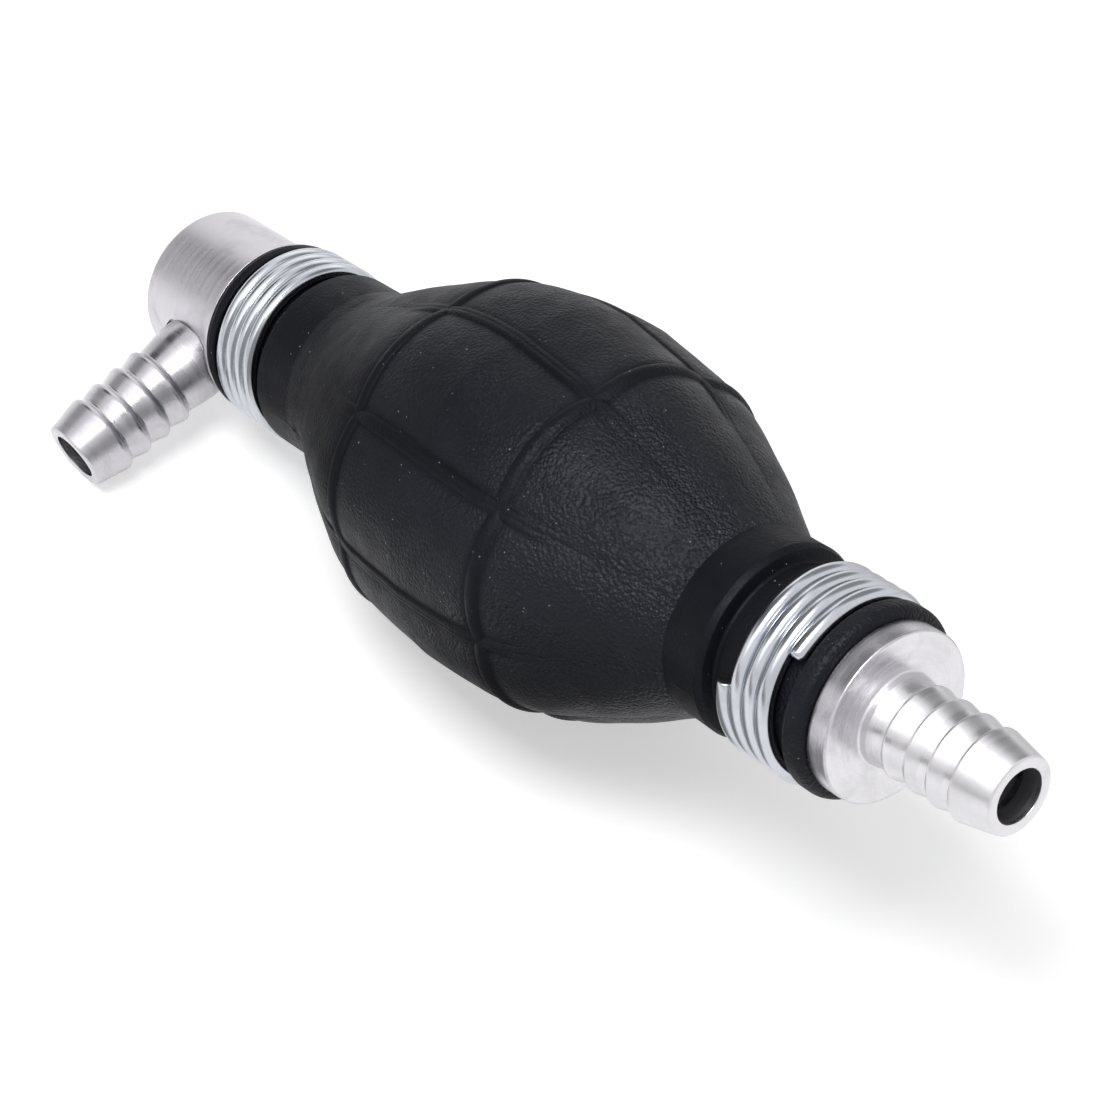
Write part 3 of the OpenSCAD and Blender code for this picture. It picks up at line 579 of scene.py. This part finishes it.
def bellyStations():
    b = bulb
    ringStart, ringEnd = b["ringAt"] - b["ringSpan"], b["ringAt"] + b["ringSpan"]
    creaseStart, creaseEnd = b["creaseSpan"]
    spans = ((0, ringStart, 26), (ringStart, ringEnd, 25), (ringEnd, creaseStart, 44), (creaseStart, creaseEnd, 14))
    half = np.concatenate([np.linspace(start, end, count)[:-1] for start, end, count in spans]
                          + [np.linspace(creaseEnd, b["stations"][-1], 6)])
    return np.concatenate([half[::-1], -half[1:]])


def aroundAngles():
    b = bulb
    sector = 2 * math.pi / b["panels"]
    foot = (b["ribHalf"] + b["ribSpare"]) / b["ribRadius"]
    one = np.concatenate([np.linspace(-foot, foot, 19)[:-1], np.linspace(foot, sector - foot, 35)[:-1]])
    return np.concatenate([one + k * sector for k in range(b["panels"])]) + math.radians(b["firstRib"])


def panelShare(x, angle, radius, isBelly):
    # how far a point is out on a panel, away from ribs and necks, for the grain, the finish and the painted shade that
    # darkens the colour of ribs, necks and the inlet's cap
    b = bulb
    u = np.abs(x)
    sector = 2 * math.pi / b["panels"]
    fromRib = np.abs(np.mod(angle - math.radians(b["firstRib"]) + sector / 2, sector) - sector / 2) * radius
    onLong = fade((u - b["ringAt"]) / b["ribRun"]) * (1 - np.clip(fromRib - b["ribHalf"], 0, 1))
    onRing = 1 - np.clip(np.abs(u - b["ringAt"]) - b["ribHalf"], 0, 1)
    byEnd = (1 + b["outletGain"] * np.clip((x - 8) / 10, 0, 1)
             - b["inletLoss"] * np.clip((-x - 14) / 6, 0, 1))
    plain = np.where(x > pump["rubberEnd"] - 4.5, b["beadFinishAndShade"], b["neckFinishAndShade"])
    return np.where(isBelly & (x < b["grainEnd"]), (1 - b["ribLoss"] * np.maximum(onLong, onRing)) * byEnd, plain)


def makeBulb():
    b = bulb
    outline, isBelly = bulbOutline()
    angles = aroundAngles()
    x = np.repeat(outline[:, 0][:, None], len(angles), 1)
    r = np.repeat(outline[:, 1][:, None], len(angles), 1)
    a = np.repeat(angles[None, :], len(outline), 0)
    r = np.where(isBelly[:, None], bellyRadius(x, a), r)
    sway = smoothCurve(x, b["swayAt"], b["sway"]) * (np.abs(x) < -b["swayAt"][0])
    toSide = math.radians(b["swayAngle"])
    points = np.stack([x, r * np.cos(a) + sway * math.cos(toSide), r * np.sin(a) + sway * math.sin(toSide)], -1)
    faces = ringFaces(len(outline), len(angles))
    piece = facingOut(makeMesh("bulbMoulding", points.reshape(-1, 3), faces, pumpPlace))
    giveAttribute(piece, "panel", "FLOAT", panelShare(x, a, r, isBelly[:, None]))
    piece.data.materials.append(rubber)
    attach(piece, "pump")
    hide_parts("bulb")
    return piece


makeBulb()
print("bulb made")

wires = {
    "outlet": {"radius": 1.16, "turns": 3.9, "pitch": 2.4, "start": 50.75, "angle": 163.6, "sway": 0.05},
    "inlet": {"radius": 1.07, "turns": 3.9, "pitch": 2.185, "start": -61.15, "angle": 21.6, "sway": 0.02},
    "seat": 11.76, "perTurn": 96, "sides": 28, "endRound": 0.9, "endLift": 0.35, "liftTurns": 0.1,
    "swayWaves": (0.61, 1.7), "secondWave": 0.6,
}


def makeClamp(name, node, end):
    w = wires[end]
    n = int(w["turns"] * wires["perTurn"])
    t = np.arange(n + 1) / wires["perTurn"]
    a = math.radians(w["angle"]) + 2 * math.pi * t
    outs = np.stack([0 * a, np.cos(a), np.sin(a)], -1)
    # the turns lie a touch unevenly, as hand-wound wire does
    slow, quick = wires["swayWaves"]
    sway = w["sway"] * (np.sin(a * slow + w["angle"]) + wires["secondWave"] * np.sin(a * quick))
    # the last cut end springs up a little from its seat
    lift = wires["endLift"] * np.clip((t - t[-1]) / wires["liftTurns"] + 1, 0, 1) ** 2
    centres = outs * (wires["seat"] + w["radius"] + lift[:, None])
    centres[:, 0] = w["start"] + w["pitch"] * t + sway
    piece = tube(name, centres, outs, w["radius"], wires["sides"], pumpPlace, wires["endRound"], (False, True))
    piece.data.set_sharp_from_angle(angle=math.radians(50))
    piece.data.materials.append(zinc)
    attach(piece, "pump")
    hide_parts(node)
    return piece


makeClamp("outletClampWire", "outlet_wire_clamp", "outlet")
makeClamp("inletClampWire", "inlet_wire_clamp", "inlet")
print("wire clamps made")

fitting = {"radius": 12.0, "flange": 3.4, "bore": 3.8, "barbRadius": 6.5, "footRadius": 5.7, "tipRadius": 5.5,
           "barbPitch": 3.77, "barbs": 3, "crestRound": 0.12, "footRound": 0.15, "rootRadius": 6.35,
           "barbDrop": 0.3, "crestFlat": 0.35, "wornDrop": 0.7, "wornFlat": 0.15, "wornRound": 0.9,
           "outletRoot": 4.0, "headLength": 18.4, "rimRadius": 13.15, "rimThick": 0.7, "spigotRadius": 8.95,
           "spigotLength": 22.5, "chamberRadius": 7.2, "chamberEnd": 57.63, "spotFace": 10.6, "spotRadius": 6.6,
           "inletRoot": 7.9, "stemReach": 35.51, "headRound": 0.9}


def tailCorners(start, rootLength, end, rootLand, worn=False):
    # barbs from the root at start to the tip at end; worn ones have rounded crests
    f = fitting
    corners = [(start + rootLand, f["rootRadius"], 0.2)]
    for k in range(f["barbs"] + 1):
        crest = start + rootLength + k * f["barbPitch"]
        if worn:
            corners += [(crest - f["wornDrop"], f["footRadius"], 0.4),
                        (crest + f["wornFlat"], f["barbRadius"] + 0.06, f["wornRound"])]
        else:
            corners += [(crest - f["barbDrop"], f["footRadius"], f["footRound"]),
                        (crest, f["barbRadius"], f["crestRound"]),
                        (crest + f["crestFlat"], f["barbRadius"], f["crestRound"])]
    return corners + [(end, f["tipRadius"] - 0.12, 0.35), (end, f["bore"], 0.15)]


def makeOutletFitting():
    f, end, tip = fitting, pump["rubberEnd"], pump["outletTip"]
    face = end + f["flange"]
    spigot = end - f["spigotLength"]
    outline = rounded(
        [(end, f["radius"], 0.3), (face - 0.02, f["radius"], 0.35), (face, f["radius"] - 0.5, 0.1)]
        + [(face, f["rootRadius"], 0.35)] + tailCorners(face, f["outletRoot"], tip, 1.2)
        + [(f["chamberEnd"] + 1.3, f["bore"], 0), (f["chamberEnd"], 6.0, 0), (f["chamberEnd"], f["chamberRadius"], 0),
           (spigot, f["chamberRadius"], 0.2), (spigot, f["spigotRadius"], 0.6), (end, f["spigotRadius"], 0)], 4)
    piece = evenNormals(turned("outletFittingTurned", outline, pumpPlace), 60)
    piece.data.materials.append(bright)
    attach(piece, "pump")
    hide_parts("outlet_fitting")
    return piece


def makeHoseTail():
    f = fitting
    outline = rounded(
        [(f["spotFace"], f["rootRadius"] - 0.05, 0.15)]
        + tailCorners(f["spotFace"], f["inletRoot"], f["stemReach"], 2.6, True)
        + [(5.2, f["bore"], 0.1), (5.2, 5.4, 0.3), (f["spotFace"], 5.4, 0)], 4)
    piece = evenNormals(turned("inletHoseTailTurned", outline, stemPlace), 60)
    piece.data.materials.append(brightTail)
    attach(piece, "pump")
    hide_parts("inlet_hose_tail")
    return piece


def joinDoubles(piece):
    # corners that a Boolean leaves on top of each other
    bm = bmesh.new()
    bm.from_mesh(piece.data)
    bmesh.ops.remove_doubles(bm, verts=bm.verts, dist=0.000003)
    bmesh.ops.dissolve_degenerate(bm, edges=bm.edges, dist=0.000003)
    bm.to_mesh(piece.data)
    bm.free()


def makeElbowHead():
    f, end = fitting, -pump["rubberEnd"]
    headEnd = end - f["headLength"]
    spigot = end + f["spigotLength"]
    wayEnd = pump["stemAt"] - f["bore"]
    outline = rounded(
        [(spigot, f["spigotRadius"], 0.6), (end, f["spigotRadius"], 0), (end, f["rimRadius"], 0.12),
         (end - f["rimThick"], f["rimRadius"], 0.25), (end - f["rimThick"], f["radius"], 0.15),
         (headEnd, f["radius"], f["headRound"]), (headEnd, 0, 0), (wayEnd - 2.2, 0, 0), (wayEnd, f["bore"], 0),
         (-f["chamberEnd"], f["bore"], 0), (-f["chamberEnd"], f["chamberRadius"], 0),
         (spigot, f["chamberRadius"], 0.2)], 6)
    piece = turned("inletElbowHeadTurned", outline, pumpPlace)
    cutters = [
        turned("spotCutter", np.array([(f["spotFace"], 0), (f["spotFace"], f["spotRadius"]), (20, f["spotRadius"]),
                                       (20, 0)]), stemPlace, 160),
        turned("shankCutter", np.array([(5.1, 0), (5.1, 5.43), (12, 5.43), (12, 0)]), stemPlace, 120),
        turned("wayCutter", np.array([(0, 0), (0, 3.5), (6, 3.5), (6, 0)]), stemPlace, 120)]
    for cutter in cutters:
        cut = piece.modifiers.new("cut", "BOOLEAN")
        cut.operation, cut.object, cut.solver = "DIFFERENCE", cutter, "EXACT"
    view = bpy.context.evaluated_depsgraph_get()
    shape = bpy.data.meshes.new_from_object(piece.evaluated_get(view))
    piece.modifiers.clear()
    piece.data = shape
    for cutter in cutters:
        bpy.data.objects.remove(cutter)
    joinDoubles(piece)
    evenNormals(piece, 35)
    piece.data.materials.clear()
    piece.data.materials.append(satin)
    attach(piece, "pump")
    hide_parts("inlet_elbow_head")
    return piece


makeOutletFitting()
makeHoseTail()
makeElbowHead()
print("fittings made")

# the check valves are the frame's own nodes with their finishes
innerFinish = {"valve_housing": brass, "housing_seal": nitrile, "poppet": acetal, "poppet_seal": nitrile,
               "valve_spring": springSteel, "spring_retainer": brass, "retaining_ring": springSteel}
for end in ("inlet", "outlet"):
    for kind, finish in innerFinish.items():
        node = frame["nodes"][end + "_" + kind]
        node.data.materials.clear()
        node.data.materials.append(finish)
print("valves finished")

shot = {"place": (0.22841, -0.19554, 0.34182), "turn": (43.2752, -1.2422, 50.2396), "lens": 103.396, "sensor": 36.0}
cameraData = bpy.data.cameras.new("camera")
cameraData.lens, cameraData.sensor_width = shot["lens"], shot["sensor"]
cameraData.clip_start, cameraData.clip_end = 0.01, 20
camera = bpy.data.objects.new("camera", cameraData)
camera.location = shot["place"]
camera.rotation_euler = [math.radians(v) for v in shot["turn"]]
bpy.context.scene.collection.objects.link(camera)
bpy.context.scene.camera = camera

bpy.ops.mesh.primitive_plane_add(size=6, location=(0, 0, 0))
floor = bpy.context.object
floor.name = "floor"

studio = {"floorGlow": 0.45, "room": 0.35}
backdropRays = ("Is Camera Ray", "Is Glossy Ray", "Is Transmission Ray")


def backdropShare(tree):
    # 1 for the rays that show the pale background: seen straight on, mirrored, or through glass
    rays = tree.nodes.new("ShaderNodeLightPath")
    share = rays.outputs[backdropRays[0]]
    for name in backdropRays[1:]:
        share = calc(tree, "MAXIMUM", share, rays.outputs[name])
    return share


def floorMaterial():
    # white where nothing shades it, with the pump's shadow kept
    material, tree, shader = startMaterial("paleFloor", {"Base Color": (0.80, 0.80, 0.80, 1), "Roughness": 0.9,
                                                         "Specular IOR Level": 0.1, "Emission Color": grey(1.0)})
    glow = calc(tree, "MULTIPLY", backdropShare(tree), studio["floorGlow"])
    tree.links.new(glow, shader.inputs["Emission Strength"])
    return material


floor.data.materials.append(floorMaterial())

world = bpy.data.worlds.new("studio")
bpy.context.scene.world = world
world.use_nodes = True
tree = world.node_tree
room = colourMix(tree, backdropShare(tree), grey(studio["room"]), grey(1.0))
tree.links.new(room, tree.nodes["Background"].inputs["Color"])
tree.nodes["Background"].inputs["Strength"].default_value = 1.0

lamps = {
    "topSoftbox": {"from": (0, 72), "far": 0.6, "size": (0.30, 0.24), "power": 2.2},
    "backSoftbox": {"from": (-118, 22), "far": 0.8, "size": (0.35, 0.30), "power": 1.4},
    "frontFill": {"from": (20, 35), "far": 0.8, "size": (0.4, 0.3), "power": 0.5},
}

# cards that only mirrored rays see, as a studio uses to give metal its contrast and rubber its sheen
cards = {
    "topGlow": {"at": (-0.025, -0.142, 0.021), "from": (-4, 85),
        "far": 0.22, "size": (0.26, 0.50), "shade": 1.8},
    "capGlow": {"at": (0.025, -0.003, 0.052), "from": (30, 72),
        "far": 0.20, "size": (0.12, 0.12), "shade": 22.0},
    "rimGlow": {"at": (0, 0.01, 0.05), "from": (-138, 24),
        "far": 0.25, "size": (0.34, 0.16), "shade": 1.5},
    "bellyLowShade": {"at": (0.025, -0.018, 0.028), "from": (0, -62),
        "far": 0.022, "size": (0.075, 0.06), "shade": 0.3},
    "headShade": {"at": (-0.077, -0.003, 0.055), "from": (-80, 29),
        "far": 0.10, "size": (0.11, 0.10), "shade": 0.02},
    "headLowShade": {"at": (-0.077, -0.002, 0.040), "from": (-54, 8),
        "far": 0.10, "size": (0.10, 0.065), "shade": 0.45},
    "stemShade": {"at": (-0.077, -0.035, 0.030), "from": (-66, 28),
        "far": 0.09, "size": (0.09, 0.055), "shade": 0.45},
    "stemBackShade": {"at": (-0.077, -0.035, 0.032), "from": (90, 0),
        "far": 0.034, "size": (0.07, 0.06), "shade": 0.4},
    "flangeShade": {"at": (0.066, 0, 0.051), "from": (-78, 38),
        "far": 0.10, "size": (0.13, 0.11), "shade": 0.22},
    "tailShade": {"at": (0.083, 0, 0.046), "from": (-144, 31),
        "far": 0.15, "size": (0.19, 0.14), "shade": 0.32},
    "tailLowShade": {"at": (0.085, 0, 0.044), "from": (-15, 4),
        "far": 0.12, "size": (0.2, 0.026), "shade": 0.3},
    "tailBackShade": {"at": (0.078, 0, 0.046), "from": (-152, -16),
        "far": 0.09, "size": (0.13, 0.06), "shade": 0.7},
    "faceGlow": {"at": (0.064, -0.002, 0.047), "from": (122, -20),
        "far": 0.06, "size": (0.06, 0.05), "shade": 1.25},
}


def aimAtPump(thing, look):
    # azimuth 0 stands on the -Y side
    turnRound, rise = (math.radians(v) for v in look["from"])
    way = Vector((math.sin(turnRound) * math.cos(rise), -math.cos(turnRound) * math.cos(rise), math.sin(rise)))
    thing.location = Vector(look.get("at", (0, 0, 0.03))) + way * look["far"]
    thing.rotation_mode = "QUATERNION"
    thing.rotation_quaternion = (-way).to_track_quat("-Z", "Y")


def addLamp(name, look):
    data = bpy.data.lights.new(name, "AREA")
    data.shape, data.size, data.size_y = "RECTANGLE", look["size"][0], look["size"][1]
    data.energy = look["power"]
    lamp = bpy.data.objects.new(name, data)
    lamp.visible_glossy = False
    aimAtPump(lamp, look)
    bpy.context.scene.collection.objects.link(lamp)


def cardMaterial(shade):
    # clear at the rim, so that its edge is soft
    material = bpy.data.materials.new("studioCard")
    material.use_nodes = True
    tree = material.node_tree
    tree.nodes.remove(tree.nodes["Principled BSDF"])
    here = tree.nodes.new("ShaderNodeTexCoord").outputs["Object"]
    fromMiddle = addNode(tree, "ShaderNodeVectorMath", {"operation": "LENGTH"}, Vector=here).outputs["Value"]
    clear = spread(tree, fromMiddle, 0.3, 0.5, 0.0, 1.0)
    face = addNode(tree, "ShaderNodeEmission", None, Color=grey(1.0), Strength=shade)
    through = tree.nodes.new("ShaderNodeBsdfTransparent")
    mixed = addNode(tree, "ShaderNodeMixShader", None, i0=clear, i1=face.outputs[0], i2=through.outputs[0])
    tree.links.new(mixed.outputs[0], tree.nodes["Material Output"].inputs["Surface"])
    return material


def addCard(name, look):
    bpy.ops.mesh.primitive_plane_add(size=1)
    card = bpy.context.object
    card.name = name
    aimAtPump(card, look)
    card.scale = (look["size"][0], look["size"][1], 1)
    card.data.materials.append(cardMaterial(look["shade"]))
    card.visible_camera = card.visible_diffuse = card.visible_shadow = card.visible_transmission = False


for name, look in lamps.items():
    addLamp(name, look)
for name, look in cards.items():
    addCard(name, look)

bpy.context.scene.view_settings.view_transform = "Standard"
print("camera and light set")
